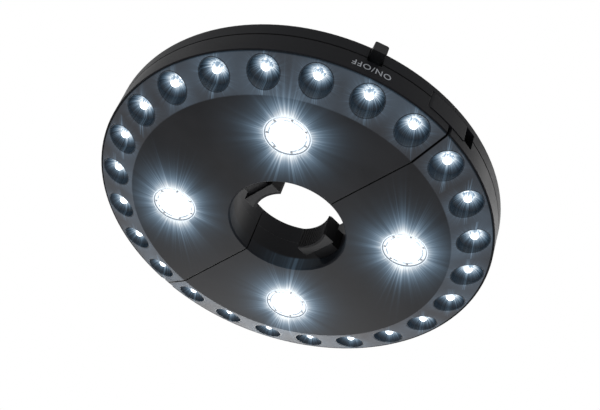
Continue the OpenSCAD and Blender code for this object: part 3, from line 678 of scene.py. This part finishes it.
# A rubber pad with upright grooves in its gripping face.
def makePad(side):
    build = bmesh.new()
    sign = -1 if side == "a" else 1
    half = math.asin(pad["halfW"] / pad["backR"])
    outline = ((pad["faceR"], pad["low"]), (pad["backR"], pad["low"]),
               (pad["backR"], pad["high"]), (pad["faceR"], pad["high"]))
    start = build.faces.new([build.verts.new((r * math.sin(-half), r * math.cos(-half), z))
                             for r, z in outline])
    bmesh.ops.spin(build, geom=[start], cent=(0.0, 0.0, 0.0), axis=(0.0, 0.0, -1.0),
                   angle=2 * half, steps=pad["strips"], use_duplicate=False)
    bmesh.ops.remove_doubles(build, verts=build.verts[:], dist=1e-7)
    bmesh.ops.recalc_face_normals(build, faces=build.faces[:])
    gripping = [face for face in build.faces
                if all(abs(v.co.xy.length - pad["faceR"]) < 1e-6 for v in face.verts)]
    gripping.sort(key=lambda face: face.calc_center_median().x)
    bmesh.ops.inset_individual(build, faces=gripping[1::2], thickness=pad["land"],
                               depth=-pad["groove"])
    bmesh.ops.scale(build, vec=(1.0, sign, 1.0), verts=build.verts[:])
    piece = finishPiece("gripPad_" + side, build, (rubber,), "grip_" + side,
                        ("jaw_pad_" + side,), pad["sharpDeg"])
    bevel = piece.modifiers.new("roundedEdges", "BEVEL")
    bevel.width = pad["round"]
    bevel.segments = pad["roundSteps"]
    bevel.limit_method = "ANGLE"
    bevel.angle_limit = math.radians(pad["roundDeg"])


for side in sides:
    makePad(side)
print("pads made")

words = {
    "text": "ON/OFF",
    "bolder": 0.008,
    "spacing": 1.12,
    "cuts": 2,
    "midDeg": -25.07,
    "spanDeg": 10.5,
    "z": 13.3 * mm,
    "height": 3.6 * mm,
    "footR": 107.0 * mm,
    "footZ": 7.9 * mm,
    "topR": 107.25 * mm,
    "topZ": 19.05 * mm,
    "thick": 0.05 * mm,
}


# The words as a flat mesh, cut finely enough to bend.
def flatWords():
    font = bpy.data.curves.new("switchWords", "FONT")
    font.body = words["text"]
    font.offset = words["bolder"]
    font.space_character = words["spacing"]
    carrier = bpy.data.objects.new("switchWords", font)
    bpy.context.scene.collection.objects.link(carrier)
    bpy.context.view_layer.update()
    flat = bpy.data.meshes.new_from_object(carrier)
    bpy.data.objects.remove(carrier)
    bpy.data.curves.remove(font)
    build = bmesh.new()
    build.from_mesh(flat)
    bpy.data.meshes.remove(flat)
    bmesh.ops.triangulate(build, faces=build.faces[:])
    bmesh.ops.subdivide_edges(build, edges=build.edges[:], cuts=words["cuts"], use_grid_fill=True)
    return build


# Letters printed on the side wall, read from below.
def makeWords():
    build = flatWords()
    xs = [v.co.x for v in build.verts]
    ys = [v.co.y for v in build.verts]
    perX = math.radians(words["spanDeg"]) / (max(xs) - min(xs))
    perY = words["height"] / (max(ys) - min(ys))
    midX, midY = (max(xs) + min(xs)) / 2, (max(ys) + min(ys)) / 2
    grown = bmesh.ops.extrude_face_region(build, geom=build.faces[:])
    raised = {v for v in grown["geom"] if isinstance(v, bmesh.types.BMVert)}
    for v in build.verts:
        turn = math.radians(words["midDeg"]) - (v.co.x - midX) * perX
        z = words["z"] - (v.co.y - midY) * perY
        share = (z - words["footZ"]) / (words["topZ"] - words["footZ"])
        lift = words["thick"] if v in raised else 0.0
        r = words["footR"] + (words["topR"] - words["footR"]) * share + lift
        v.co = Vector((r * math.cos(turn), r * math.sin(turn), z))
    ink = plain("printWhite", (0.72, 0.73, 0.74), 0.5, depth=0.01, edge=0.02)
    finishPiece("switchWords", build, (ink,), "half_a")


makeWords()
print("words made")

stage = {"floorZ": -1.2, "reach": 6.0, "pale": 0.35, "floor": (0.8, 0.8, 0.8)}


# One for a ray that the camera, a gloss or a clear piece sends, and nought for the rays that
# carry light.
def seenDirectly(tree):
    path = addNode(tree, "ShaderNodeLightPath")
    seen = Wire(tree, path.outputs["Is Camera Ray"])
    for key in ("Is Glossy Ray", "Is Transmission Ray"):
        seen = seen.math("MAXIMUM", Wire(tree, path.outputs[key]))
    return seen


def makeFloor():
    paint, tree, shader, _ = surface("floorPaint", stage["floor"], 0.7, spread=0.02, grain=40.0,
                                     depth=0.0, wear=0.0)
    plug(tree, shader.inputs["Emission Strength"], seenDirectly(tree) * stage["pale"])
    shader.inputs["Emission Color"].default_value = rgba(white)
    build = bmesh.new()
    bmesh.ops.create_grid(build, x_segments=1, y_segments=1, size=stage["reach"])
    bmesh.ops.translate(build, vec=(0.0, 0.0, stage["floorZ"]), verts=build.verts[:])
    mesh = bpy.data.meshes.new("floor")
    build.to_mesh(mesh)
    build.free()
    mesh.materials.append(paint)
    piece = bpy.data.objects.new("floor", mesh)
    bpy.context.scene.collection.objects.link(piece)


makeFloor()

lights = {
    "keyBelow": {"at": (-1.15, 0.75, -0.40), "size": 0.8, "power": 15.0},
    "sideRight": {"at": (0.15, 0.95, 0.75), "size": 0.8, "power": 2.0},
    "above": {"at": (-0.4, 0.3, 2.0), "size": 1.4, "power": 24.0},
}


# A round soft light that looks at the part.
def softLight(name, at, size, power):
    source = bpy.data.lights.new(name, "AREA")
    source.shape = "DISK"
    source.size = size
    source.energy = power
    holder = bpy.data.objects.new(name, source)
    holder.location = at
    holder.rotation_euler = (-Vector(at)).to_track_quat("-Z", "Y").to_euler()
    bpy.context.scene.collection.objects.link(holder)


for name, settings in lights.items():
    softLight(name, **settings)

sky = {"dim": (0.85, 0.9, 1.0), "dimPower": 0.25}


# White to look at, and a soft dim light on everything.
def makeWorld():
    world = bpy.data.worlds.new("studio")
    bpy.context.scene.world = world
    world.use_nodes = True
    tree = world.node_tree
    tree.nodes.clear()
    dim = addNode(tree, "ShaderNodeBackground", Color=rgba(sky["dim"]), Strength=sky["dimPower"])
    pale = addNode(tree, "ShaderNodeBackground", Color=rgba(white), Strength=1.0)
    mixed = addNode(tree, "ShaderNodeMixShader", Fac=seenDirectly(tree))
    tree.links.new(dim.outputs[0], mixed.inputs[1])
    tree.links.new(pale.outputs[0], mixed.inputs[2])
    out = addNode(tree, "ShaderNodeOutputWorld")
    tree.links.new(mixed.outputs[0], out.inputs["Surface"])


makeWorld()
bpy.context.scene.view_settings.view_transform = "Standard"
print("stage set")
